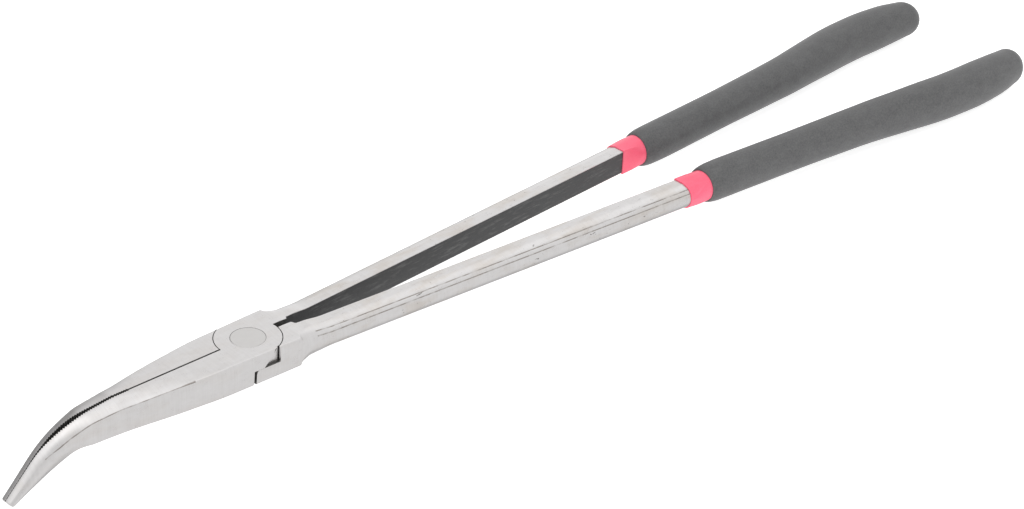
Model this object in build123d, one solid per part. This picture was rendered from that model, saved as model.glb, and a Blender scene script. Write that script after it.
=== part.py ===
from build123d import *
import os

# Extra long reach bent-nose pliers: two steel halves on a flush rivet, each with a two-colour dipped handle.
#
# Millimetres. The model is drawn about the middle of the joint's thickness and moved at export, so that the
# origin is where the pivot axis meets the ground joint face that the nose bends away from. +X runs along the
# handles, +Z out of that face, and the jaws open about Z.

# Joint
JOINT_THICKNESS = 9.7
HALF_THICKNESS = JOINT_THICKNESS / 2
LAP_CLEARANCE = 0.025  # each half stands this far off the middle plane where the two lap
BOSS_RADIUS = 9.6
SOCKET_RADIUS = 9.95
RIVET_HEAD_RADIUS = 5.1
RIVET_SHANK_RADIUS = 3.2
RIVET_CLEARANCE = 0.05
COUNTERSINK_DEPTH = 1.6

# Head and jaws seen from above: half widths by distance from the pivot. At the pivot the head is narrower
# than the boss, so that the opening halves pass each other.
TIP_X = -82.0
SHOULDER_X = 11.6
SHOULDER_HALF_WIDTH = 10.0
HALF_WIDTHS = {TIP_X: 2.4, -61: 4.0, -33: 7.0, -14: 9.0, 0: 9.5, SHOULDER_X: SHOULDER_HALF_WIDTH}
HOLLOW_X = 13.2  # the shoulder falls to the shaft in a hollow curve
HOLLOW_HALF_WIDTH = 7.6
NECK_X = 17.0
NECK_HALF_WIDTH = 6.2
HEAD_END_X = 20.0

# The closed jaws bow apart most at the bend: the inner face's distance from the middle
JAW_INNER_FACE = {0: 0.2, -52: 0.2, -62: 0.6, -72: 0.1, TIP_X: 0.06}

# The crotch just behind the joint: its half width, running into the shaft's inner face
CROTCH_HALF_WIDTHS = {0: 1.1, 13.4: 1.1, 15.4: 2.1, HEAD_END_X: 2.5}

# Bent nose, seen from the side
NOSE_START_X = -46.0
CREST_DROP_X = -55.0
CREST_DROP_Z = 3.9
BEND_START_ANGLE = 6.0
NOSE_ANGLE = 46.0
BEND_RADIUS = 30.0
UNDERSIDE_BEND_X = -60.3
TIP_THICKNESS = 2.75
NOSE_DEPTH = 20.0  # more than the nose reaches below the middle plane
SHOULDER_DROP = 0.6  # the top falls a little behind the shoulder
SHOULDER_DROP_X = 16.0

# Handle shafts: flat inner face, rounded outer side
SHAFT_HALF_HEIGHT = 3.9
SHAFT_START_X = 12.0
INNER_FACE_Y = 2.0  # at the start of the shaft
INNER_FACE_SLOPE = 0.0649
OUTER_SIDE_Y = 9.15
OUTER_SIDE_SLOPE = 0.0682
CORE_END_X = 309.0
CORE_RADIUS = 3.4  # hidden in the grip
INNER_CORNER = 0.2  # how far the corners of the inner face are cut back

# Dipped coatings: the grip's centres and radii by distance from the pivot
HIDDEN_CORNER_SHARE = 0.3  # inside the grip the inner corners are cut back by this share of the radius
BAND_START_X = 160.3
GRIP_START_X = 169.5
BAND_START_THICKNESS = 0.3
BAND_END_RADIUS = 5.1
SLEEVE_RADIUS = 4.3
GRIP_CENTRES = {GRIP_START_X: 14.9, 180: 15.4, 245: 20.3, 268: 23.1, 290: 24.9, 313: 23.9}
GRIP_RADII = {GRIP_START_X: 5.9, 180: 6.4, 245: 6.8, 268: 7.5, 290: 7.6, 313: 6.4}
GRIP_BALL_X = 313


def bar_section(x, y_in, y_out, half_height, inner_corner):
    """A D-shaped face across the handle at x: flat inner side, short flats above and below, round outside."""
    y_strip = (y_in + y_out) / 2
    corner_y = y_in + inner_corner
    corner_z = half_height - inner_corner
    outline = Polyline((y_strip, -half_height), (corner_y, -corner_z))
    outline += ThreePointArc((corner_y, -corner_z), (y_in, 0), (corner_y, corner_z))
    outline += Polyline((corner_y, corner_z), (y_strip, half_height))
    outline += ThreePointArc((y_strip, half_height), (y_out, 0), (y_strip, -half_height))
    return Plane(origin=(x, 0, 0), x_dir=(0, 1, 0), z_dir=(1, 0, 0)) * make_face(outline)


def shaft_section(x, growth=0):
    """The straight shaft's section at x, grown all round."""
    run = x - SHAFT_START_X
    y_in = INNER_FACE_Y + INNER_FACE_SLOPE * run - growth
    y_out = OUTER_SIDE_Y + OUTER_SIDE_SLOPE * run + growth
    return bar_section(x, y_in, y_out, SHAFT_HALF_HEIGHT + growth, INNER_CORNER)


def hidden_section(x, centre_y, radius):
    """A nearly round section of what lies inside the grip."""
    return bar_section(x, centre_y - radius, centre_y + radius, radius, radius * HIDDEN_CORNER_SHARE)


def hidden_sections(radius, end_x):
    """Sections along the grip's centres from behind its front edge to end_x."""
    sections = []
    for x, centre_y in GRIP_CENTRES.items():
        if x > GRIP_START_X:
            sections.append(hidden_section(min(x, end_x), centre_y, radius))
    return sections


def shaft():
    """The whole steel handle on +Y, from the head to its hidden end."""
    straight = loft([shaft_section(SHAFT_START_X), shaft_section(GRIP_START_X)], ruled=True)
    hidden = loft([shaft_section(GRIP_START_X)] + hidden_sections(CORE_RADIUS, CORE_END_X))
    return straight + hidden


def sleeve_envelope():
    """Outer shape of the first, red dip: it thickens from its edge on the shaft to the grip's edge."""
    band = loft([
        shaft_section(BAND_START_X, BAND_START_THICKNESS),
        hidden_section(GRIP_START_X, GRIP_CENTRES[GRIP_START_X], BAND_END_RADIUS),
    ], ruled=True)
    front = [hidden_section(GRIP_START_X, GRIP_CENTRES[GRIP_START_X], BAND_END_RADIUS)]
    end_x = CORE_END_X + SLEEVE_RADIUS - CORE_RADIUS
    return band + loft(front + hidden_sections(SLEEVE_RADIUS, end_x))


def grip_envelope():
    """Outer shape of the second, grey dip: a round bar that swells and bows outward before its round end."""
    sections = []
    for x, y in GRIP_CENTRES.items():
        sections.append(Plane(origin=(x, y, 0), z_dir=(1, 0, 0)) * Circle(GRIP_RADII[x]))
    ball = Pos(GRIP_BALL_X, GRIP_CENTRES[GRIP_BALL_X], 0) * Sphere(GRIP_RADII[GRIP_BALL_X])
    return loft(sections) + ball


def filled(points, corners):
    """A face bounded by the line through (x, y) points and closed round by way of the corners."""
    return make_face(Polyline(*points, *corners, points[0]))


def head_outline():
    """Outline of the closed head and nose seen from above, on its -Y side, from the tip to the shaft."""
    flank = Spline(*[(x, -half_width) for x, half_width in HALF_WIDTHS.items()])
    hollow = ThreePointArc(flank @ 1, (HOLLOW_X, -HOLLOW_HALF_WIDTH), (NECK_X, -NECK_HALF_WIDTH))
    back = Polyline(
        hollow @ 1, (HEAD_END_X, -NECK_HALF_WIDTH), (HEAD_END_X, 0), (TIP_X, 0), flank @ 0,
    )
    return make_face(flank + hollow + back)


def jaw_plan():
    """The front jaw seen from above, without the sliver that its inner face stands off the middle."""
    inner = filled([(x, -gap) for x, gap in JAW_INNER_FACE.items()], [(TIP_X, 0), (0, 0)])
    in_front = Pos(TIP_X / 2, -SHOULDER_HALF_WIDTH) * Rectangle(-TIP_X, 2 * SHOULDER_HALF_WIDTH)
    return (head_outline() & in_front) - inner


def handle_plan():
    """The shoulder that joins the boss to the shaft on +Y, with the narrow crotch beside the middle."""
    crotch = filled(list(CROTCH_HALF_WIDTHS.items()), [(HEAD_END_X, 0), (0, 0)])
    behind = Pos(HEAD_END_X / 2, SHOULDER_HALF_WIDTH) * Rectangle(HEAD_END_X, 2 * SHOULDER_HALF_WIDTH)
    return (mirror(head_outline(), about=Plane.XZ) & behind) - crotch


def side_profile():
    """The head and bent nose seen from the side, pushed right across the part."""
    falling = Vector(-1, 0).rotate(Axis.Z, BEND_START_ANGLE)
    crest = JernArc((CREST_DROP_X, CREST_DROP_Z), falling, BEND_RADIUS, NOSE_ANGLE - BEND_START_ANGLE)
    run = (crest @ 1).X - TIP_X
    slope = PolarLine(crest @ 1, run, 180 + NOSE_ANGLE, length_mode=LengthMode.HORIZONTAL)
    tip = PolarLine(slope @ 1, TIP_THICKNESS, NOSE_ANGLE - 90)
    rest = Polyline(
        tip @ 1, (UNDERSIDE_BEND_X, -HALF_THICKNESS), (HEAD_END_X, -HALF_THICKNESS),
        (HEAD_END_X, HALF_THICKNESS - SHOULDER_DROP), (SHOULDER_DROP_X, HALF_THICKNESS),
        (NOSE_START_X, HALF_THICKNESS), crest @ 0,
    )
    face = Plane.XZ * make_face(crest + slope + tip + rest)
    return extrude(face, SHOULDER_HALF_WIDTH + 1, both=True)


def rivet_shape(clearance):
    """A countersunk rivet ground flush at both ends, grown by clearance."""
    head = RIVET_HEAD_RADIUS + clearance
    shank = RIVET_SHANK_RADIUS + clearance
    outline = Polyline(
        (0, -HALF_THICKNESS), (head, -HALF_THICKNESS), (shank, COUNTERSINK_DEPTH - HALF_THICKNESS),
        (shank, HALF_THICKNESS - COUNTERSINK_DEPTH), (head, HALF_THICKNESS), (0, HALF_THICKNESS),
        (0, -HALF_THICKNESS),
    )
    return revolve(Plane.XZ * make_face(outline), Axis.Z)


def steel_half(boss_side, rivet_clearance):
    """One forging, jaw on -Y and handle on +Y; its boss is above the middle plane for 1 and below for -1."""
    sides = jaw_plan() + handle_plan()
    full_depth = extrude(sides - Circle(SOCKET_RADIUS), NOSE_DEPTH, both=True)
    boss = (head_outline() + mirror(head_outline(), about=Plane.XZ)) & Circle(BOSS_RADIUS)
    boss_layer = extrude(sides + boss, HALF_THICKNESS - LAP_CLEARANCE)
    if boss_side > 0:
        boss_layer = Pos(0, 0, LAP_CLEARANCE) * boss_layer
    else:
        boss_layer = Pos(0, 0, -HALF_THICKNESS) * boss_layer
    head = (full_depth + boss_layer) & side_profile()
    return head + shaft() - rivet_shape(rivet_clearance)


def place(part, node):
    """Move a part from the joint's middle plane to the row's frame and write it."""
    export_step(Pos(0, 0, -HALF_THICKNESS) * part, f"parts/{node}.step")


os.makedirs("parts", exist_ok=True)
sleeve = sleeve_envelope() - shaft()
grip = grip_envelope() - sleeve_envelope()

place(steel_half(1, RIVET_CLEARANCE), "front_half")
place(mirror(steel_half(-1, 0), about=Plane.XZ), "rear_half")
place(rivet_shape(0), "pivot_rivet")
place(sleeve, "front_handle_sleeve")
place(mirror(sleeve, about=Plane.XZ), "rear_handle_sleeve")
place(grip, "front_handle_grip")
place(mirror(grip, about=Plane.XZ), "rear_handle_grip")
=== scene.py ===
import math

import bmesh
import bpy
import numpy as np
from mathutils import Matrix, Vector, noise


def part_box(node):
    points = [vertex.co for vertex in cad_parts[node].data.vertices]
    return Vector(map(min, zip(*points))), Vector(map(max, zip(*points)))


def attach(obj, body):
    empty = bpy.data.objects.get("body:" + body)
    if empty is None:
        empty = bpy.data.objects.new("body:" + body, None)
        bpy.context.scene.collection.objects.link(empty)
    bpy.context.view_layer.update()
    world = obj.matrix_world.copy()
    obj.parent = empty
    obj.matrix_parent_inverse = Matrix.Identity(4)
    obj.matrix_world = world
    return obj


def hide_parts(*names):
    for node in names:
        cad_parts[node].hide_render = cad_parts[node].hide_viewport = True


# Looks of the long reach bent-nose pliers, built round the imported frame. Shapes are worked out in millimetres
# about the middle of the joint's thickness, and to_row() puts them in the row's frame in metres.

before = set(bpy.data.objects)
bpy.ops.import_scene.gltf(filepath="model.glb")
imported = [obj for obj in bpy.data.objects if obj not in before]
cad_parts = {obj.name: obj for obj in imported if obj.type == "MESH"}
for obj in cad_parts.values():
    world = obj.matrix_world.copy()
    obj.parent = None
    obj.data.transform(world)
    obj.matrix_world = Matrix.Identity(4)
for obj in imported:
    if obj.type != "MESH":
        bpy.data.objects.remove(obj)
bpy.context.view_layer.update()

MM = 0.001
rivet_low, rivet_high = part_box("pivot_rivet")
steel_low, steel_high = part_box("front_half")
sleeve_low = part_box("front_handle_sleeve")[0]
grip_low, grip_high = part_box("front_handle_grip")

# Joint
MIDDLE_Z = (rivet_low.z + rivet_high.z) / 2 / MM
HALF_THICKNESS = (rivet_high.z - rivet_low.z) / 2 / MM
RIVET_RADIUS = rivet_high.x / MM
SHANK_RADIUS = 3.2
COUNTERSINK = 1.6
RIVET_GAP = 0.09
UPPER, LOWER = 1, -1
BOSS_RADII = {UPPER: 9.72, LOWER: 10.1}
SOCKET_RADII = {UPPER: 9.98, LOWER: 10.3}
BOSS_FLAT_X = -4.0
BOSS_FLAT_START_X = -9.0
SOCKET_FLAT_X = -4.85
SHOULDER_NOTCH_X = 4.1
BOSS_SLANT = ((3.3, 4.85), (-1.5, 0.0))
BOSS_SLANT_END_X = 9.0
FLANK_DEPTH = 8.7
LAP_GAP = 0.02
CROTCH_HALF_GAP = 1.1
CROTCH_CUT_END_X = 17.5

# Cutters: how far they reach up and down, how far out to the side, and how far in a cut at the flank starts
CUT_REACH, CUT_WIDTH, CUT_FLANK_Y = 12.0, 14.0, 8.0
CUT_MARGIN = 2.0
CUT_PAST_TIP = 3.0

# Nose, seen from the side: its top and underside turn down by different angles, so it tapers
TIP_X = steel_low.x / MM
NOSE_START_X = -46.0
SLOPE_ANGLE = math.radians(6)
NOSE_ANGLE = math.radians(46)
BEND_START, BEND_RADIUS = 9.05, 30.0
UNDERSIDE_ANGLE = math.radians(27.9)

# Jaws and head: half widths and the fall of the top surface from the middle to the outer edge, by x
HALF_WIDTHS = {
    -82: 2.42, -75: 3.0, -68: 3.5, -61: 3.95, -46: 4.9, -33: 6.75, -25: 7.9, -14: 9.1, -4: 9.45, 11.6: 10.0,
}
FRONT_TOP_FALLS = {-82: 0.0, -72: 0.8, -66: 2.2, -61: 2.3, -55: 1.9, -46: 2.0, -35: 1.35, -23: 0.55, -13: 0.0}
REAR_TOP_FALLS = {-82: 0.0, -72: 0.1, -61: 0.75, -54: 0.6, -46: 0.75, -36: 0.35, -13: 0.0}
CROWN_UP, CROWN_DOWN = 0.03, 0.045  # how much narrower than its middle the head is at its top and underside
CROWN_DOWN_POWER = 0.7
ROUNDNESS = {-82: 0.9, -72: 0.75, -64: 0.45, -57: 0.0}
EDGE_ROUNDS = {-30: 0.15, -22: 0.4, 4: 0.45, 11.6: 0.6}
JAW_GAPS = {-82: 0.04, -76: 0.06, -71: 0.14, -66: 0.42, -61: 0.62, -54: 0.36, -46: 0.28, -5: 0.28}
TEETH_START_X = -41.0
TOOTH_PITCH = 0.78
TOOTH_DEPTHS = {-82: 0.1, -74: 0.16, -65: 0.42, -52: 0.42, -41: 0.3}
SHOULDER_X = 11.6
TIP_SHRINK, TIP_CHAMFER = 0.9, 0.25
# CREASE_FROM_X and CREASE_TO_X bound where the jaw's outer top corner gets painted crease shade
CREASE_FROM_X, CREASE_TO_X = -24.0, -71.0

# Handle shafts
SHAFT_X = 17.0
FULL_SHAFT_X = 24.0
BLACK_FROM_X = 15.2
CROTCH_END_X = 15.4
NECK_DROP = 0.25  # how much lower than the joint the shaft's start is
SHAFT_HALF_HEIGHT = 3.98
SHAFT_ROUNDING = 4.1
INNER_CORNER = 0.25
FACET_FLATNESS, FACET_VARIATION, FACET_VARIES_OVER = 0.75, 0.25, 13
INNER_Y, INNER_SLOPE = 2.0, 0.0649
OUTER_Y, OUTER_SLOPE = 9.15, 0.0682
SHAFT_ORIGIN_X = 12.0
CORE_END_X = steel_high.x / MM
CORE_RADIUS = 3.4
CORE_LEAD = 6.0  # how far behind the grip's edge the shaft has become the round core

# Dipped coatings
BAND_X = sleeve_low.x / MM
GRIP_X = grip_low.x / MM
BAND_END_RADIUS = 5.1
SLEEVE_RADIUS = 4.3
GRIP_CENTRES = {
    160: 14.6, 169.5: 14.9, 180: 15.4, 200: 16.8, 223: 18.5, 245: 20.3, 257: 21.8, 269: 23.3, 281: 24.5,
    292: 24.9, 303: 24.7, 313: 23.9, 320: 23.1,
}
GRIP_RADII = {
    169.5: 5.5, 171: 5.95, 174: 6.3, 180: 6.4, 205: 6.4, 235: 6.7, 257: 7.2, 275: 7.6, 292: 7.6, 304: 7.2,
    313: 6.4,
}
GRIP_BALL_X = 313.0
GRIP_BALL_RADIUS = grip_high.x / MM - GRIP_BALL_X
SKIN_GAP = 0.04  # between one coat and what it covers
BAND_START_GROWTH, BAND_END_GROWTH = 0.35, 0.3
BAND_EDGE_BREAK = 0.2
UNEVENNESS, UNEVEN_LENGTH = 0.05, 14.0
EVEN_EDGE = 4.0  # the grip's first stretch is left even

# How finely things are divided
TOP_STEPS, FLANK_STEPS = 24, 10
NOSE_STEPS, SHOULDER_STEPS, NECK_STEPS, SHAFT_STEPS, CORE_STEPS = 64, 15, 6, 90, 36
CORNER_TURNS = (0, 12, 25, 36, 38.5, 41, 50, 57, 59.5, 62, 76, 90)  # degrees turned at each point of a corner
CORNER_STEPS = len(CORNER_TURNS) - 1
CREASES = (4, 8)  # which of those points lie in the two ground creases along a shaft's outer side
CREASE_DEPTH = 0.09
CREASE_DIRECTION = (0.7, 0.7)
CREASE_VARIES_OVER, CREASE_RUN_IN = 7, 8

# Studio: an even room light, and darker or brighter patches of it, each with a direction, the cosines where
# it starts and is full, and how much it adds
FLOOR_GLOW = 0.72
ROOM_LIGHT = 0.96
LIGHT_PATCHES = (
    ((-0.35, 0.15, 0.92), 0.70, 0.93, 0.34),
    ((0.59, 0.76, 0.25), 0.93, 0.99, 0.18),
    ((0.60, 0.20, 0.77), 0.93, 0.99, 0.25),
    ((-0.15, 0.98, 0.12), 0.70, 0.90, -0.60),
    ((-0.55, -0.75, 0.15), 0.50, 0.95, -0.12),
    ((-0.04, -0.31, 0.95), 0.84, 0.97, 0.32),
    ((0.59, 0.0, -0.8), 0.93, 1.0, -0.4),
)


def curve(knots, x):
    """A smooth curve through knots, held level past both ends."""
    xs = sorted(knots)
    ys = [knots[k] for k in xs]
    if x <= xs[0]:
        return ys[0]
    if x >= xs[-1]:
        return ys[-1]
    slopes = []
    for i in range(len(xs)):
        before, after = max(i - 1, 0), min(i + 1, len(xs) - 1)
        left = (ys[i] - ys[before]) / (xs[i] - xs[before]) if i > before else 0
        right = (ys[after] - ys[i]) / (xs[after] - xs[i]) if after > i else 0
        if i in (0, len(xs) - 1):
            slopes.append(left + right)
        elif left * right <= 0:
            slopes.append(0)
        else:
            slopes.append(2 * left * right / (left + right))
    i = max(k for k in range(len(xs) - 1) if xs[k] <= x)
    step = xs[i + 1] - xs[i]
    t = (x - xs[i]) / step
    rise = ys[i + 1] - ys[i]
    return (ys[i] + t * step * slopes[i] + t * t * (3 * rise - step * (2 * slopes[i] + slopes[i + 1]))
            + t ** 3 * (step * (slopes[i] + slopes[i + 1]) - 2 * rise))


def smooth(low, high, x):
    """Rises smoothly from 0 at low to 1 at high."""
    t = min(max((x - low) / (high - low), 0), 1)
    return t * t * (3 - 2 * t)


def to_row(points):
    """Millimetres about the joint's middle to metres in the row's frame."""
    return (np.asarray(points, float) + (0, 0, MIDDLE_Z)) * MM


# ---------------------------------------------------------------- sections

def ring(y_low, y_high, half_height, low_corner=(0.3, 0.3), high_corner=(0.3, 0.3)):
    """(y, z) points round a rounded rectangle, from its top's low side. Corner radii go across and up."""
    points = []

    def side(start, end, steps, first=False):
        for k in range(0 if first else 1, steps + 1):
            t = k / steps
            points.append((start[0] + (end[0] - start[0]) * t, start[1] + (end[1] - start[1]) * t))

    def corner(centre, radii, start_angle, turns=CORNER_TURNS[1:]):
        for turn in turns:
            angle = math.radians(start_angle - turn)
            points.append((centre[0] + radii[0] * math.cos(angle), centre[1] + radii[1] * math.sin(angle)))

    low_y, low_z = y_low + low_corner[0], half_height - low_corner[1]
    high_y, high_z = y_high - high_corner[0], half_height - high_corner[1]
    side((low_y, half_height), (high_y, half_height), TOP_STEPS, first=True)
    corner((high_y, high_z), high_corner, 90)
    side((y_high, high_z), (y_high, -high_z), FLANK_STEPS)
    corner((high_y, -high_z), high_corner, 0)
    side((high_y, -half_height), (low_y, -half_height), TOP_STEPS)
    corner((low_y, -low_z), low_corner, -90)
    side((y_low, -low_z), (y_low, low_z), FLANK_STEPS)
    corner((low_y, low_z), low_corner, 180, CORNER_TURNS[1:-1])
    return np.array(points)


RING_SIZE = len(ring(-1, 1, 1))
INNER_FLANK_START = TOP_STEPS * 2 + CORNER_STEPS * 3 + FLANK_STEPS
# Material slots; the third is ground steel with painted shade laid along creases
STEEL, BLACK, PAINTED_CREASE_SHADE = 0, 1, 2
# The material of each side of a section, where it isn't plain ground steel
PLAIN_SIDES = {}
# Painted crease shade goes on the jaw's outer top corner and along the shaft's two creases
JAW_SIDES = {side: PAINTED_CREASE_SHADE for side in range(RING_SIZE - CORNER_STEPS, RING_SIZE)}
SHAFT_SIDES = {TOP_STEPS + crease + step: PAINTED_CREASE_SHADE for crease in CREASES for step in (-1, 0)}
INNER_SIDES = range(INNER_FLANK_START, INNER_FLANK_START + FLANK_STEPS)
NECK_SIDES = {side: BLACK for side in INNER_SIDES}
SHAFT_SIDES.update(NECK_SIDES)


def rounded(points, amount):
    """Moves a ring's points towards the ellipse that touches its sides."""
    low, high = points.min(0), points.max(0)
    centre, half = (low + high) / 2, (high - low) / 2
    across = (points - centre) / half
    ellipse = across / np.linalg.norm(across, axis=1, keepdims=True) * half + centre
    return points * (1 - amount) + ellipse * amount


def crown(points, half_height, amount=1.0):
    """Narrows a ring towards its top, and a little more towards its underside."""
    upness = points[:, 1] / half_height
    up, down = CROWN_UP * upness ** 2, CROWN_DOWN * np.abs(upness) ** CROWN_DOWN_POWER
    narrowing = np.where(upness > 0, up, down)
    points[:, 0] *= 1 - narrowing * amount
    return upness


def head_ring(x, half_height, top_falls):
    """Section of the closed head or nose: crowned flanks, and a top that falls towards its outer edges."""
    half_width = curve(HALF_WIDTHS, x)
    edge = curve(EDGE_ROUNDS, x)
    points = ring(-half_width, half_width, half_height, (edge, edge), (edge, edge))
    upness = crown(points, half_height)
    fall = curve(top_falls, x) * (points[:, 0] / half_width) ** 2
    points[:, 1] -= fall * (upness + 1) / 2
    return rounded(points, curve(ROUNDNESS, x))


def shaft_sides(x):
    """Inner and outer y of the straight shaft at x."""
    run = x - SHAFT_ORIGIN_X
    return INNER_Y + INNER_SLOPE * run, OUTER_Y + OUTER_SLOPE * run


def shaft_ring(x, growth=0.0):
    """D-shaped section of the shaft: flat inner face, flat strips above and below, round outer side."""
    y_in, y_out = shaft_sides(x)
    height = SHAFT_HALF_HEIGHT + growth
    outer = (SHAFT_ROUNDING, height * 0.97)
    points = ring(y_in - growth, y_out + growth, height, (INNER_CORNER, INNER_CORNER), outer)
    facets = (0,) + CREASES + (CORNER_STEPS,)
    flatness = FACET_FLATNESS + FACET_VARIATION * noise.noise((x / FACET_VARIES_OVER, 0, 0))
    for start, end in zip(facets, facets[1:]):
        first, last = points[TOP_STEPS + start], points[TOP_STEPS + end]
        for k in range(start + 1, end):
            share = (CORNER_TURNS[k] - CORNER_TURNS[start]) / (CORNER_TURNS[end] - CORNER_TURNS[start])
            points[TOP_STEPS + k] += (first + (last - first) * share - points[TOP_STEPS + k]) * flatness
    for crease in CREASES:
        variation = 1 + noise.noise((x / CREASE_VARIES_OVER, crease, 0))
        depth = CREASE_DEPTH * variation * smooth(SHAFT_X, SHAFT_X + CREASE_RUN_IN, x)
        points[TOP_STEPS + crease] -= depth * np.array(CREASE_DIRECTION)
    return points


def shoulder_ring(x):
    """Section where the head's shoulder hollows out into the round-sided shaft."""
    t = (x - SHOULDER_X) / (SHAFT_X - SHOULDER_X)
    y_in, y_out = shaft_sides(x)
    edge = EDGE_ROUNDS[SHOULDER_X]
    corner = edge + (SHAFT_ROUNDING - edge) * math.sqrt(1 - (1 - t) ** 2)
    half_width = curve(HALF_WIDTHS, SHOULDER_X)
    y_low = -half_width + (half_width + y_in) * smooth(SHOULDER_X, CROTCH_END_X, x)
    y_high = half_width + (y_out - half_width) * smooth(SHOULDER_X, SHAFT_X, x)
    height = HALF_THICKNESS - NECK_DROP * smooth(SHOULDER_X, SHAFT_X, x)
    points = ring(y_low, y_high, height, (0.28, 0.28), (corner, min(corner, height * 0.97)))
    crown(points, height, 1 - smooth(SHOULDER_X, SHAFT_X - 2, x))
    return points


def core_ring(x, radius):
    """Round section of what lies inside the grip."""
    centre = curve(GRIP_CENTRES, x)
    return rounded(ring(centre - radius, centre + radius, radius), 1.0)


# ---------------------------------------------------------------- stations along the tool

def trace(start, heading, length, steps=240):
    """Points along a line in the side view whose heading below -X is a function of the distance gone."""
    points = [np.array(start, float)]
    step = length / steps
    for k in range(steps):
        angle = heading((k + 0.5) * step)
        points.append(points[-1] + step * np.array((-math.cos(angle), -math.sin(angle))))
    return np.array(points)


def crest_heading(gone):
    bend = min(max((gone - BEND_START) / BEND_RADIUS, 0), NOSE_ANGLE - SLOPE_ANGLE)
    return SLOPE_ANGLE * smooth(0, 1.5, gone) + bend


def underside_heading(gone):
    return UNDERSIDE_ANGLE * smooth(10.6, 18.0, gone)


def nose_line(start_z, heading, end_x):
    """The traced line from the nose's start, cut where it reaches end_x."""
    line = trace((NOSE_START_X, start_z), heading, 60)
    return line[line[:, 0] > end_x]


TIP_THICKNESS = 2.2
CREST = nose_line(HALF_THICKNESS, crest_heading, TIP_X)
UNDERSIDE_END_X = TIP_X + TIP_THICKNESS * math.sin(NOSE_ANGLE)
UNDERSIDE = nose_line(-HALF_THICKNESS, underside_heading, UNDERSIDE_END_X)


def along(line, share):
    """The point at a share of a line's length."""
    place = share * (len(line) - 1)
    k = min(int(place), len(line) - 2)
    return line[k] + (line[k + 1] - line[k]) * (place - k)


class Station:
    """A plane across the tool: its middle and up direction in the side view, half height, and crest x."""

    def __init__(self, top, bottom):
        top, bottom = np.array(top, float), np.array(bottom, float)
        self.middle = (top + bottom) / 2
        self.half_height = np.linalg.norm(top - bottom) / 2
        self.up = (top - bottom) / np.linalg.norm(top - bottom)
        self.x = float(top[0])

    def place(self, points):
        """(y, z) points of a ring to (x, y, z)."""
        across = self.middle + np.outer(points[:, 1], self.up)
        return np.column_stack((across[:, 0], points[:, 0], across[:, 1]))


def upright(x):
    """A station square to the handles."""
    return Station((x, HALF_THICKNESS), (x, -HALF_THICKNESS))


def nose_station(share):
    """A station across the bent nose, 0 at its start and 1 at the tip."""
    return Station(along(CREST, share), along(UNDERSIDE, share))


NOSE_LENGTH = np.linalg.norm(np.diff(CREST, axis=0), axis=1).sum()


# ---------------------------------------------------------------- meshes

def new_object(name, vertices, faces, materials=()):
    """A mesh object from points in the row's frame, with its normals outward."""
    mesh = bpy.data.meshes.new(name)
    mesh.from_pydata([tuple(v) for v in vertices], [], faces)
    shell = bmesh.new()
    shell.from_mesh(mesh)
    bmesh.ops.recalc_face_normals(shell, faces=shell.faces)
    shell.to_mesh(mesh)
    shell.free()
    for material in materials:
        mesh.materials.append(material)
    thing = bpy.data.objects.new(name, mesh)
    bpy.context.scene.collection.objects.link(thing)
    return thing


def swept(name, rings, materials, side_materials):
    """A closed mesh through rings of points, capped flat at both ends, with each ring's side materials."""
    size = len(rings[0])
    vertices = np.concatenate([to_row(r) for r in rings])
    faces = [tuple(range(size))]
    slots = [0]
    for k in range(len(rings) - 1):
        for i in range(size):
            j = (i + 1) % size
            faces.append((k * size + j, k * size + i, (k + 1) * size + i, (k + 1) * size + j))
            slots.append(side_materials[k].get(i, STEEL))
    last = (len(rings) - 1) * size
    faces.append(tuple(range(last + size - 1, last - 1, -1)))
    slots.append(0)
    thing = new_object(name, vertices, faces, materials)
    thing.data.polygons.foreach_set("material_index", slots)
    return thing


def mirrored(thing, name):
    """A copy of thing on the other side of the middle, with its faces still outward."""
    mesh = thing.data.copy()
    mesh.name = name
    mesh.transform(Matrix.Scale(-1, 4, (0, 1, 0)))
    mesh.flip_normals()
    copy = bpy.data.objects.new(name, mesh)
    bpy.context.scene.collection.objects.link(copy)
    return copy


def on_its_side(thing, name, body):
    """A piece made for the front body as it is, or its mirror image for the rear one."""
    if body == "front":
        return thing
    copy = mirrored(thing, name + "_mirrored")
    bpy.data.objects.remove(thing)
    copy.name = name
    return copy


def cut(thing, cutter):
    """Takes cutter out of thing, and removes it."""
    modifier = thing.modifiers.new("cut", "BOOLEAN")
    modifier.operation = "DIFFERENCE"
    modifier.solver = "EXACT"
    modifier.material_mode = "TRANSFER"
    modifier.object = cutter
    graph = bpy.context.evaluated_depsgraph_get()
    mesh = bpy.data.meshes.new_from_object(thing.evaluated_get(graph))
    thing.modifiers.clear()
    thing.data = mesh
    heal(thing)
    bpy.data.objects.remove(cutter)


def heal(thing):
    """Merges the near-zero edges that cutting leaves."""
    nearly_nothing = 0.001 * MM
    mesh = bmesh.new()
    mesh.from_mesh(thing.data)
    bmesh.ops.remove_doubles(mesh, verts=mesh.verts, dist=nearly_nothing)
    bmesh.ops.dissolve_degenerate(mesh, edges=mesh.edges, dist=nearly_nothing)
    mesh.to_mesh(thing.data)
    mesh.free()


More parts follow.
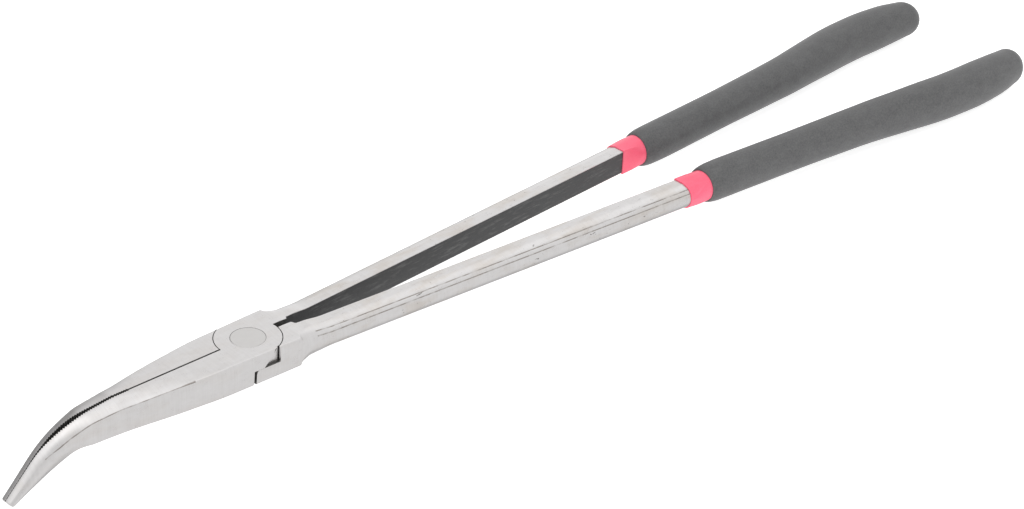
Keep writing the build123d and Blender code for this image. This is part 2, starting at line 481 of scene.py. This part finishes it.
def lathe(name, profile, materials=(), segments=96):
    """A closed mesh of (radius, z) points turned round the pivot axis. The end radii are above 0."""
    rings = []
    for radius, z in profile:
        angles = np.linspace(0, 2 * math.pi, segments, endpoint=False)
        x, y = radius * np.cos(angles), radius * np.sin(angles)
        rings.append(np.column_stack((x, y, np.full(segments, z))))
    vertices = np.concatenate([to_row(r) for r in rings])
    faces = [tuple(range(segments - 1, -1, -1))]
    for k in range(len(rings) - 1):
        for i in range(segments):
            j = (i + 1) % segments
            faces.append((k * segments + i, k * segments + j, (k + 1) * segments + j, (k + 1) * segments + i))
    last = (len(rings) - 1) * segments
    faces.append(tuple(range(last, last + segments)))
    return new_object(name, vertices, faces, materials)


def disc(name, radius, low_z, high_z, material):
    return lathe(name, [(radius, low_z), (radius, high_z)], [material], segments=192)


# ---------------------------------------------------------------- steel halves

def half_blank(name, materials, top_falls):
    """A half before it is cut to its share of the joint: whole head and nose, and the shaft on +Y."""
    rings, sides = [], []

    def add(station, points, side_materials=PLAIN_SIDES):
        rings.append(station.place(points))
        sides.append(side_materials)

    tip = nose_station(1.0)
    add(tip, head_ring(tip.x, tip.half_height, top_falls) * TIP_SHRINK)
    for k in range(NOSE_STEPS, -1, -1):
        share = k / NOSE_STEPS if k < NOSE_STEPS else 1 - TIP_CHAMFER / NOSE_LENGTH
        station = nose_station(share)
        # Along the jaw the outer top corner gets painted crease shade
        crease_shade = JAW_SIDES if station.x > CREASE_TO_X else PLAIN_SIDES
        add(station, head_ring(station.x, station.half_height, top_falls), crease_shade)
    for x in np.arange(NOSE_START_X + 1, SHOULDER_X, 1.0):
        crease_shade = JAW_SIDES if x < CREASE_FROM_X else PLAIN_SIDES
        add(upright(x), head_ring(x, HALF_THICKNESS, top_falls), crease_shade)
    for x in np.linspace(SHOULDER_X, SHAFT_X, SHOULDER_STEPS):
        add(upright(x), shoulder_ring(x), NECK_SIDES if x > BLACK_FROM_X else PLAIN_SIDES)
    for x in np.linspace(SHAFT_X + 1, FULL_SHAFT_X, NECK_STEPS):
        points = shaft_ring(x)
        excess = (HALF_THICKNESS - NECK_DROP) / SHAFT_HALF_HEIGHT - 1
        points[:, 1] *= 1 + excess * (1 - smooth(SHAFT_X, FULL_SHAFT_X, x))
        add(upright(x), points, SHAFT_SIDES)
    for x in np.linspace(FULL_SHAFT_X + 1.5, GRIP_X, SHAFT_STEPS):
        add(upright(x), shaft_ring(x), SHAFT_SIDES)
    for x in np.linspace(GRIP_X + CORE_LEAD, CORE_END_X, CORE_STEPS):
        add(upright(x), core_ring(x, CORE_RADIUS))
    return swept(name, rings, materials, sides)


def jaw_cutter(material):
    """Takes away everything beyond the front jaw's inner face, x below 0, and leaves teeth in that face."""
    stations = [(upright(0.0), 0.0), (upright(TEETH_START_X), 0.0)]
    straight_teeth = int((TEETH_START_X - NOSE_START_X) / TOOTH_PITCH * 2)
    for k in range(1, straight_teeth + 1):
        station = upright(TEETH_START_X - k * TOOTH_PITCH / 2)
        stations.append((station, curve(TOOTH_DEPTHS, station.x) * (k % 2)))
    steps = int(NOSE_LENGTH / TOOTH_PITCH * 2)
    for k in range(1, steps + 1):
        station = nose_station(k / steps)
        stations.append((station, curve(TOOTH_DEPTHS, station.x) * ((k + straight_teeth) % 2)))
    tip = nose_station(1.0)
    along_nose = np.array((-math.cos(NOSE_ANGLE), -math.sin(NOSE_ANGLE)))
    beyond = Station(CREST[-1] + CUT_PAST_TIP * along_nose, UNDERSIDE[-1] + CUT_PAST_TIP * along_nose)
    beyond.x = tip.x
    stations.append((beyond, 0.0))
    rings = []
    for station, tooth in stations:
        face = -curve(JAW_GAPS, station.x) - tooth
        reach = station.half_height + CUT_MARGIN
        corners = [(face, reach), (CUT_WIDTH, reach), (CUT_WIDTH, -reach), (face, -reach)]
        rings.append(station.place(np.array(corners)))
    vertices = np.concatenate([to_row(r) for r in rings])
    faces = [(0, 1, 2, 3)]
    for k in range(len(rings) - 1):
        for i in range(4):
            j = (i + 1) % 4
            a, b, c, d = k * 4 + i, k * 4 + j, (k + 1) * 4 + j, (k + 1) * 4 + i
            faces += [(a, d, b), (b, d, c)]
    last = (len(rings) - 1) * 4
    faces.append((last + 3, last + 2, last + 1, last))
    return new_object("jaw_cutter", vertices, faces, [material])


def block(name, low, high, material):
    """A box cutter between two corners, in millimetres about the middle."""
    corners = [(x, y, z) for x in (low[0], high[0]) for y in (low[1], high[1]) for z in (low[2], high[2])]
    faces = [(0, 1, 3, 2), (4, 6, 7, 5), (0, 4, 5, 1), (2, 3, 7, 6), (0, 2, 6, 4), (1, 5, 7, 3)]
    return new_object(name, to_row(corners), faces, [material])


def rivet_profile(gap):
    """(radius, z) of the countersunk rivet from its lower to its upper face."""
    head, shank = RIVET_RADIUS + gap, SHANK_RADIUS + gap
    neck_z = HALF_THICKNESS - COUNTERSINK
    return [(head, -HALF_THICKNESS), (shank, -neck_z), (shank, neck_z), (head, HALF_THICKNESS)]


def boss_slant(material):
    """Cutter that bevels the upper boss where it meets the flank in front of the other half's shoulder."""
    (top_x, top_z), (low_x, low_z) = BOSS_SLANT
    low_z += LAP_GAP / 2
    high_z = top_z + CUT_MARGIN
    end_x = BOSS_SLANT_END_X
    outline = [(top_x, top_z), (top_x, high_z), (end_x, high_z), (end_x, low_z), (low_x, low_z)]
    points = [(x, -y, z) for y in (FLANK_DEPTH, CUT_WIDTH) for x, z in outline]
    size = len(outline)
    sides = [(i, (i + 1) % size, (i + 1) % size + size, i + size) for i in range(size)]
    caps = [tuple(range(size)), tuple(range(size, 2 * size))]
    return new_object("boss_slant", to_row(points), sides + caps, [material])


def share_of_joint(blank, boss_side, steel_material, gap_shade_material):
    """Cuts a blank with its jaw on -Y to its share of the lap joint, with its boss on the given side."""
    profile = rivet_profile(RIVET_GAP)
    bore = [(profile[0][0], -CUT_REACH)] + profile + [(profile[-1][0], CUT_REACH)]
    # The gap material paints the cut faces inside the joint and between the jaws near black, as painted shade
    cut(blank, lathe("bore", bore, [gap_shade_material]))
    low_z, high_z = sorted((boss_side * LAP_GAP, boss_side * CUT_REACH))
    crotch_low, crotch_high = (0, -CUT_WIDTH, -CUT_REACH), (CROTCH_CUT_END_X, CROTCH_HALF_GAP, CUT_REACH)
    for cutter in (jaw_cutter(gap_shade_material), block("crotch_cutter", crotch_low, crotch_high, gap_shade_material)):
        cut(cutter, disc("boss", BOSS_RADII[boss_side], low_z, high_z, gap_shade_material))
        cut(blank, cutter)
    socket_low, socket_high = sorted((boss_side * LAP_GAP, -boss_side * CUT_REACH))
    cut(blank, disc("socket", SOCKET_RADII[-boss_side], socket_low, socket_high, gap_shade_material))
    # The notch and the boss's flat keep a hair off the lap plane, because faces in one plane cut badly
    hair = -boss_side * LAP_GAP / 2
    notch_low, notch_high = sorted((boss_side * LAP_GAP + hair, -boss_side * CUT_REACH))
    corner, far_corner = (0, CUT_FLANK_Y, notch_low), (SHOULDER_NOTCH_X, CUT_WIDTH, notch_high)
    cut(blank, block("notch", corner, far_corner, steel_material))
    if boss_side == UPPER:
        corner, far_corner = (SOCKET_FLAT_X, -CUT_WIDTH, socket_low), (0, -CUT_FLANK_Y, socket_high)
        cut(blank, block("slit", corner, far_corner, gap_shade_material))
        cut(blank, boss_slant(steel_material))
    else:
        corner, far_corner = (BOSS_FLAT_START_X, CUT_FLANK_Y, low_z), (BOSS_FLAT_X, CUT_WIDTH, high_z + hair)
        cut(blank, block("boss_flat", corner, far_corner, gap_shade_material))


def finish_edges(thing, width=0.1, angle=38):
    """Smooth shading between sharp edges, and a fine worn round on those edges."""
    for polygon in thing.data.polygons:
        polygon.use_smooth = True
    bevel = thing.modifiers.new("worn_edges", "BEVEL")
    bevel.width = width * MM
    bevel.segments = 2
    bevel.limit_method = "ANGLE"
    bevel.angle_limit = math.radians(angle)
    bevel.harden_normals = True


def steel_half(name, body, node, boss_side, materials):
    """One steel half. The front one has its jaw on -Y. The rear one is mirrored, with its boss underneath."""
    # The third and fourth materials carry painted shade: along creases, and on the faces in the gaps
    steel, black, crease_shade, gap = materials
    top_falls = FRONT_TOP_FALLS if body == "front" else REAR_TOP_FALLS
    thing = half_blank(name, [steel, black, crease_shade], top_falls)
    share_of_joint(thing, boss_side, steel, gap)
    thing = on_its_side(thing, name, body)
    finish_edges(thing)
    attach(thing, body)
    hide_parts(node)
    return thing


def rivet(material):
    """The countersunk rivet, ground flush, with a hair-fine break at the edge of each head."""
    profile = rivet_profile(0)
    edge = 0.06
    profile[0] = (profile[0][0], profile[0][1] + edge)
    profile[-1] = (profile[-1][0], profile[-1][1] - edge)
    low_z, high_z = -HALF_THICKNESS, HALF_THICKNESS
    head = RIVET_RADIUS - edge
    centre = 0.2
    profile = [(centre, low_z), (head, low_z)] + profile + [(head, high_z), (centre, high_z)]
    thing = lathe("rivet", profile, [material])
    finish_edges(thing, width=0.03)
    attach(thing, "rear")
    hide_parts("pivot_rivet")
    return thing


# ---------------------------------------------------------------- dipped coatings

def sock(name, outer, inner, materials):
    """A closed coat: outer and inner skins joined round the open end, each capped at the far end."""
    size = len(outer[0])
    vertices = np.concatenate([to_row(r) for r in outer + inner])
    faces = []
    for skin_start, count, outward in ((0, len(outer), True), (len(outer), len(inner), False)):
        for k in range(skin_start, skin_start + count - 1):
            for i in range(size):
                j = (i + 1) % size
                quad = (k * size + j, k * size + i, (k + 1) * size + i, (k + 1) * size + j)
                faces.append(quad if outward else quad[::-1])
        cap = tuple(range((skin_start + count - 1) * size, (skin_start + count) * size))
        faces.append(cap[::-1] if outward else cap)
    inner_start = len(outer) * size
    for i in range(size):
        j = (i + 1) % size
        faces.append((i, j, inner_start + j, inner_start + i))
    return new_object(name, vertices, faces, materials)


def sleeve_ring(x):
    """Outer section of the red dip: it follows the shaft at its edge and rounds out by the grip."""
    t = smooth(BAND_X, GRIP_X, x)
    on_shaft = shaft_ring(x, BAND_START_GROWTH + BAND_END_GROWTH * t)
    centre = curve(GRIP_CENTRES, x)
    radius = BAND_END_RADIUS if x <= GRIP_X else SLEEVE_RADIUS
    round_ring = rounded(ring(centre - radius, centre + radius, radius), 1.0)
    return on_shaft * (1 - t) + round_ring * t


def grip_ring(x, swell=0.0):
    """Outer section of the grey dip at x."""
    centre, radius = curve(GRIP_CENTRES, x), curve(GRIP_RADII, x) + swell
    return rounded(ring(centre - radius, centre + radius, radius), 1.0)


def shrunk(points, amount):
    """A ring drawn in towards its centre by an amount."""
    centre = (points.min(0) + points.max(0)) / 2
    away = points - centre
    length = np.linalg.norm(away, axis=1, keepdims=True)
    return centre + away * (length - amount) / length


def sleeve(name, body, node, material):
    """The first, red dip: a thin coat seen as the ring in front of the grip, closed over the hidden core."""
    outer = [upright(BAND_X).place(shrunk(sleeve_ring(BAND_X), BAND_EDGE_BREAK))]
    for x in np.linspace(BAND_X + 0.12, GRIP_X, 16):
        outer.append(upright(x).place(sleeve_ring(x)))
    end_x = CORE_END_X + SLEEVE_RADIUS - CORE_RADIUS
    for x in np.linspace(GRIP_X + 3, end_x - 1, CORE_STEPS):
        outer.append(upright(x).place(core_ring(x, SLEEVE_RADIUS)))
    outer.append(upright(end_x).place(core_ring(end_x, SLEEVE_RADIUS - 1)))
    inner = [upright(x).place(shaft_ring(x, SKIN_GAP)) for x in np.linspace(BAND_X, GRIP_X, 12)]
    for x in np.linspace(GRIP_X + CORE_LEAD, CORE_END_X + SKIN_GAP, CORE_STEPS):
        inner.append(upright(x).place(core_ring(x, CORE_RADIUS + SKIN_GAP)))
    return coat(sock(name, outer, inner, [material]), name, body, node, "sleeve")


def grip(name, body, node, material):
    """The second, grey dip: a soft rounded edge over the red, a slow swell and bow, and a round end."""
    outer = []
    for x, inward in ((GRIP_X, 0.35), (GRIP_X + 0.1, 0.12), (GRIP_X + 0.35, 0.0)):
        outer.append(upright(x).place(grip_ring(x, -inward)))
    for x in np.linspace(GRIP_X + 0.8, GRIP_X + 10, 14):
        outer.append(upright(x).place(grip_ring(x)))
    for x in np.linspace(GRIP_X + 12, GRIP_BALL_X, 64):
        outer.append(upright(x).place(grip_ring(x)))
    centre = curve(GRIP_CENTRES, GRIP_BALL_X)
    for angle in np.radians(np.linspace(7, 86, 14)):
        x = GRIP_BALL_X + GRIP_BALL_RADIUS * math.sin(angle)
        radius = curve(GRIP_RADII, GRIP_BALL_X) * math.cos(angle)
        drift = -0.12 * (x - GRIP_BALL_X)
        circle = rounded(ring(centre + drift - radius, centre + drift + radius, radius), 1.0)
        outer.append(upright(x).place(circle))
    inner = [upright(x).place(shrunk(sleeve_ring(GRIP_X), -SKIN_GAP)) for x in (GRIP_X, GRIP_X + 0.5)]
    end_x = CORE_END_X + SLEEVE_RADIUS - CORE_RADIUS + SKIN_GAP
    for x in np.linspace(GRIP_X + 3, end_x, CORE_STEPS):
        inner.append(upright(x).place(core_ring(x, SLEEVE_RADIUS + SKIN_GAP)))
    return coat(sock(name, outer, inner, [material]), name, body, node, "grip")


def coat(thing, name, body, node, slot_name):
    """Puts a coat made for the +Y handle on its own handle, and gives the grip the slow unevenness of a dipped
    skin.
    """
    thing = on_its_side(thing, name, body)
    mesh = thing.data
    uneven_from = GRIP_X * MM + EVEN_EDGE * MM
    for vertex in mesh.vertices:
        if vertex.co.x > uneven_from and slot_name == "grip":
            # Known fault: noise_vector() isn't seeded, so the unevenness differs from run to run
            vertex.co += noise.noise_vector(vertex.co / (UNEVEN_LENGTH * MM)) * UNEVENNESS * MM
    for polygon in mesh.polygons:
        polygon.use_smooth = True
    mesh.set_sharp_from_angle(angle=math.radians(50))
    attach(thing, body)
    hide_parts(node)
    return thing


# ---------------------------------------------------------------- materials

class Finish:
    """A material being built up from procedural nodes in the object's own coordinates."""

    def __init__(self, name):
        self.material = bpy.data.materials.new(name)
        self.material.use_nodes = True
        self.tree = self.material.node_tree
        self.shader = self.tree.nodes["Principled BSDF"]
        self.place = self.tree.nodes.new("ShaderNodeTexCoord").outputs["Object"]

    def node(self, kind, inputs, **settings):
        """A node with its settings, and its inputs either linked or set; gives its first output."""
        node = self.tree.nodes.new("ShaderNode" + kind)
        for name, value in settings.items():
            setattr(node, name, value)
        for name, value in inputs.items():
            self.put(node, name, value)
        return node.outputs[0]

    def put(self, node, name, value):
        if isinstance(value, bpy.types.NodeSocket):
            self.tree.links.new(value, node.inputs[name])
        else:
            node.inputs[name].default_value = value

    def set(self, **inputs):
        """Sets or links the shader's inputs, written with _ for spaces."""
        for name, value in inputs.items():
            self.put(self.shader, name.replace("_", " "), value)

    def grain(self, size, detail=3.0, roughness=0.55, turn=(0, 0, 0)):
        """Noise whose grain has a size in millimetres along each axis."""
        scale = [1 / (length * MM) for length in size]
        moved = self.node("Mapping", {"Vector": self.place, "Rotation": turn, "Scale": scale})
        inputs = {"Vector": moved, "Scale": 1.0, "Detail": detail, "Roughness": roughness}
        return self.node("TexNoise", inputs)

    def remap(self, value, low, high, to_low=0.0, to_high=1.0):
        """A number taken from one span to another, and held there."""
        return self.node("MapRange", {0: value, 1: low, 2: high, 3: to_low, 4: to_high})

    def sum(self, *values):
        total = values[0]
        for value in values[1:]:
            total = self.node("Math", {0: total, 1: value}, operation="ADD")
        return total

    def product(self, a, b):
        return self.node("Math", {0: a, 1: b}, operation="MULTIPLY")

    def colours(self, amount, first, second):
        """A colour between two, by an amount."""
        ramp_node = self.tree.nodes.new("ShaderNodeValToRGB")
        ramp_node.color_ramp.elements[0].color = (*first, 1)
        ramp_node.color_ramp.elements[1].color = (*second, 1)
        self.put(ramp_node, "Fac", amount)
        return ramp_node.outputs["Color"]

    def blend(self, amount, first, second):
        """Mixes two colour outputs by an amount."""
        mix = self.tree.nodes.new("ShaderNodeMix")
        mix.data_type = "RGBA"
        self.put(mix, "Factor", amount)
        self.tree.links.new(first, mix.inputs[6])
        self.tree.links.new(second, mix.inputs[7])
        return mix.outputs[2]

    def relief(self, height, depth, strength=1.0):
        """Bump of a height from 0 to 1 with a depth in millimetres."""
        bumped = self.node("Bump", {"Height": height, "Distance": depth * MM, "Strength": strength})
        self.set(Normal=bumped)


def ground_steel(name, painted_shade=0.0):
    """Belt-ground carbon steel: fine scratches across the tool, soft mottling, and a few pits on the shafts.

    The last argument is the most that broken brown patches of painted shade, laid along a crease, cover it by.
    """
    finish = Finish(name)
    scratches = finish.grain((0.09, 5, 5), detail=4)
    coarse = finish.grain((0.6, 9, 9), detail=2)
    mottle = finish.grain((4, 2.2, 2.2), detail=5, roughness=0.65)
    warmth = finish.grain((16, 5, 5), detail=3, roughness=0.6)
    x = finish.node("SeparateXYZ", {"Vector": finish.place})
    on_shaft = finish.remap(x, 0.018, 0.030)
    spots = finish.grain((1.5, 0.8, 0.8), detail=2)
    patches = finish.grain((22, 14, 14), detail=1)
    pits = finish.product(finish.remap(spots, 0.70, 0.73), finish.remap(patches, 0.48, 0.56))
    pits = finish.product(pits, on_shaft)
    tone = finish.sum(finish.remap(mottle, 0.3, 0.7, 0.0, 0.6), finish.remap(coarse, 0.3, 0.7, 0.0, 0.4))
    cool = finish.colours(tone, (0.630, 0.615, 0.612), (0.712, 0.700, 0.698))
    warm = finish.colours(tone, (0.570, 0.535, 0.505), (0.670, 0.640, 0.615))
    warm_patches = finish.product(finish.remap(warmth, 0.45, 0.62), finish.remap(on_shaft, 0, 1, 0.35, 1))
    dark = finish.colours(tone, (0.13, 0.12, 0.11), (0.20, 0.185, 0.17))
    roughness = finish.sum(
        finish.remap(mottle, 0.3, 0.7, 0.27, 0.36), finish.remap(scratches, 0.3, 0.7, -0.03, 0.03),
    )
    height = finish.sum(
        finish.remap(scratches, 0.2, 0.8, 0, 0.5), finish.remap(coarse, 0.2, 0.8, 0, 0.5),
        finish.remap(pits, 0, 1, 0, -6),
    )
    clean = finish.blend(warm_patches, cool, warm)
    # Painted shade: broken brown darkening laid along creases, standing in for the shade that falls in them
    if painted_shade:
        shade_blotches = finish.remap(finish.grain((3.5, 1.2, 1.2), detail=4), 0.35, 0.55, 0.15, painted_shade)
        shade_colour = finish.colours(tone, (0.22, 0.195, 0.175), (0.34, 0.31, 0.285))
        clean = finish.blend(shade_blotches, clean, shade_colour)
    finish.relief(height, 0.004)
    finish.set(Base_Color=finish.blend(pits, clean, dark), Metallic=1.0, Roughness=roughness)
    return finish.material


def rivet_steel():
    """The rivet's slightly softer, warmer steel, ground in the same pass as the joint face."""
    finish = Finish("rivet_steel")
    scratches = finish.grain((0.09, 5, 5), detail=4)
    mottle = finish.grain((2.5, 2, 2), detail=4)
    finish.relief(scratches, 0.004)
    finish.set(
        Base_Color=finish.colours(mottle, (0.58, 0.565, 0.555), (0.65, 0.64, 0.63)),
        Metallic=1.0,
        Roughness=finish.remap(mottle, 0.3, 0.7, 0.28, 0.36),
    )
    return finish.material


def forged_black():
    """The inner side of the shafts, left as forged: black scale with a fine tooth and rubbed streaks."""
    finish = Finish("forged_black")
    scale = finish.grain((0.7, 0.7, 0.7), detail=5, roughness=0.7)
    rubbed = finish.remap(finish.grain((7, 0.8, 0.8), detail=4, roughness=0.7), 0.52, 0.72)
    black = finish.colours(scale, (0.050, 0.050, 0.051), (0.095, 0.095, 0.096))
    grey = finish.colours(scale, (0.12, 0.12, 0.12), (0.18, 0.18, 0.178))
    finish.relief(scale, 0.05)
    finish.set(
        Base_Color=finish.blend(rubbed, black, grey),
        Metallic=0.35,
        Roughness=finish.remap(scale, 0.3, 0.7, 0.45, 0.62),
    )
    return finish.material


def gap_shade_steel():
    """Faces inside the joint and between the jaws: cut steel painted near black, as painted shade for the shade
    that falls in the gaps.
    """
    finish = Finish("cut_steel_painted_shade")
    lines = finish.grain((0.12, 4, 4), detail=3)
    shade_blotches = finish.grain((2.5, 2.5, 2.5), detail=4)
    finish.relief(lines, 0.006)
    finish.set(
        Base_Color=finish.colours(shade_blotches, (0.050, 0.048, 0.045), (0.140, 0.135, 0.128)),
        Metallic=0.4,
        Roughness=finish.remap(shade_blotches, 0.3, 0.7, 0.35, 0.5),
    )
    return finish.material


def dipped_vinyl(name, first, second, roughness, pebble, depth, sheen):
    """A dipped vinyl skin: uneven colour, a soft pebbled surface, and a sheen that pales its outline."""
    finish = Finish(name)
    fine = finish.grain((pebble, pebble, pebble), detail=3, roughness=0.6)
    broad = finish.grain((5, 3, 3), detail=3)
    tone = finish.sum(finish.remap(fine, 0.3, 0.7, 0, 0.7), finish.remap(broad, 0.3, 0.7, 0, 0.3))
    finish.relief(fine, depth)
    finish.set(
        Base_Color=finish.colours(tone, first, second),
        Roughness=finish.sum(finish.remap(fine, 0.3, 0.7, -0.05, 0.05), roughness),
        Specular_IOR_Level=0.5,
        Sheen_Weight=sheen,
        Sheen_Roughness=0.35,
    )
    return finish.material


# ---------------------------------------------------------------- studio

def floor():
    """A plain white table that touches the nose's tip and the undersides of both grips."""
    tip_x, tip_z = TIP_X + 1.6, steel_low.z / MM
    grip_x, grip_z = 290.0, MIDDLE_Z - max(GRIP_RADII.values())
    slope = (grip_z - tip_z) / (grip_x - tip_x)
    size, gap = 4000.0, 0.05
    corners = [(x, y, tip_z - gap + slope * (x - tip_x)) for x, y in (
        (-size, -size), (size, -size), (size, size), (-size, size),
    )]
    thing = new_object("floor", np.array(corners) * MM, [(0, 1, 2, 3)], [table_white()])
    thing.visible_glossy = False


def table_white():
    """White acrylic, lit a little from below."""
    finish = Finish("table_white")
    cloudy = finish.grain((400, 400, 400), detail=2)
    finish.set(
        Base_Color=finish.colours(cloudy, (0.76, 0.76, 0.76), (0.80, 0.80, 0.80)),
        Roughness=0.6,
        Emission_Color=(1, 1, 1, 1),
        Emission_Strength=FLOOR_GLOW,
    )
    return finish.material


def studio_light():
    """A pale room: LIGHT_PATCHES brighten or darken it round their own directions."""
    world = bpy.data.worlds.new("studio")
    bpy.context.scene.world = world
    world.use_nodes = True
    tree = world.node_tree
    background = tree.nodes["Background"]
    direction = tree.nodes.new("ShaderNodeTexCoord").outputs["Generated"]
    total = ROOM_LIGHT
    for towards, start, full, amount in LIGHT_PATCHES:
        closeness = tree.nodes.new("ShaderNodeVectorMath")
        closeness.operation = "DOT_PRODUCT"
        tree.links.new(direction, closeness.inputs[0])
        closeness.inputs[1].default_value = Vector(towards).normalized()
        patch = tree.nodes.new("ShaderNodeMapRange")
        patch.interpolation_type = "SMOOTHSTEP"
        tree.links.new(closeness.outputs["Value"], patch.inputs["Value"])
        patch.inputs["From Min"].default_value = start
        patch.inputs["From Max"].default_value = full
        patch.inputs["To Max"].default_value = amount
        added = tree.nodes.new("ShaderNodeMath")
        if total is ROOM_LIGHT:
            added.inputs[0].default_value = ROOM_LIGHT
        else:
            tree.links.new(total, added.inputs[0])
        tree.links.new(patch.outputs["Result"], added.inputs[1])
        total = added.outputs[0]
    seen = tree.nodes.new("ShaderNodeMix")
    tree.links.new(tree.nodes.new("ShaderNodeLightPath").outputs["Is Camera Ray"], seen.inputs["Factor"])
    tree.links.new(total, seen.inputs["A"])
    seen.inputs["B"].default_value = 1.0
    tree.links.new(seen.outputs["Result"], background.inputs["Strength"])
    background.inputs["Color"].default_value = (1, 1, 1, 1)


def camera():
    """The view from above the nose, on the rear jaw's side, with a slight roll."""
    azimuth, elevation, roll = math.radians(43.76), math.radians(31.30), math.radians(2.5)
    level_right = Vector((math.cos(azimuth), -math.sin(azimuth), 0))
    level = math.cos(elevation)
    forward = Vector((math.sin(azimuth) * level, math.cos(azimuth) * level, -math.sin(elevation)))
    level_up = level_right.cross(forward)
    right = level_right * math.cos(roll) + level_up * math.sin(roll)
    up = level_up * math.cos(roll) - level_right * math.sin(roll)
    data = bpy.data.cameras.new("camera")
    data.sensor_width = 36
    data.lens = 91.57
    data.clip_start, data.clip_end = 0.01, 20
    thing = bpy.data.objects.new("camera", data)
    turn = Matrix((right, up, -forward)).transposed().to_4x4()
    thing.matrix_world = Matrix.Translation(to_row((-372.0, -494.7, 409.7))) @ turn
    bpy.context.scene.collection.objects.link(thing)
    bpy.context.scene.camera = thing


# ---------------------------------------------------------------- the scene

# The second ground steel has painted shade laid along its creases
steel, crease_shade = ground_steel("ground_steel"), ground_steel("steel_painted_crease_shade", 0.9)
# The last of these materials is painted near black, as shade in the joint and between the jaws
halves = (steel, forged_black(), crease_shade, gap_shade_steel())
red = dipped_vinyl(
    "red_vinyl", (0.95, 0.11, 0.19), (0.99, 0.15, 0.24),
    roughness=0.34, pebble=0.35, depth=0.012, sheen=0.0,
)
grey = dipped_vinyl(
    "grey_vinyl", (0.062, 0.062, 0.063), (0.125, 0.126, 0.127),
    roughness=0.5, pebble=0.55, depth=0.06, sheen=0.16,
)
steel_half("front_steel", "front", "front_half", UPPER, halves)
steel_half("rear_steel", "rear", "rear_half", LOWER, halves)
rivet(rivet_steel())
for body in ("front", "rear"):
    sleeve(body + "_band", body, body + "_handle_sleeve", red)
    grip(body + "_grip", body, body + "_handle_grip", grey)

floor()
studio_light()
camera()
bpy.context.scene.view_settings.view_transform = "Standard"
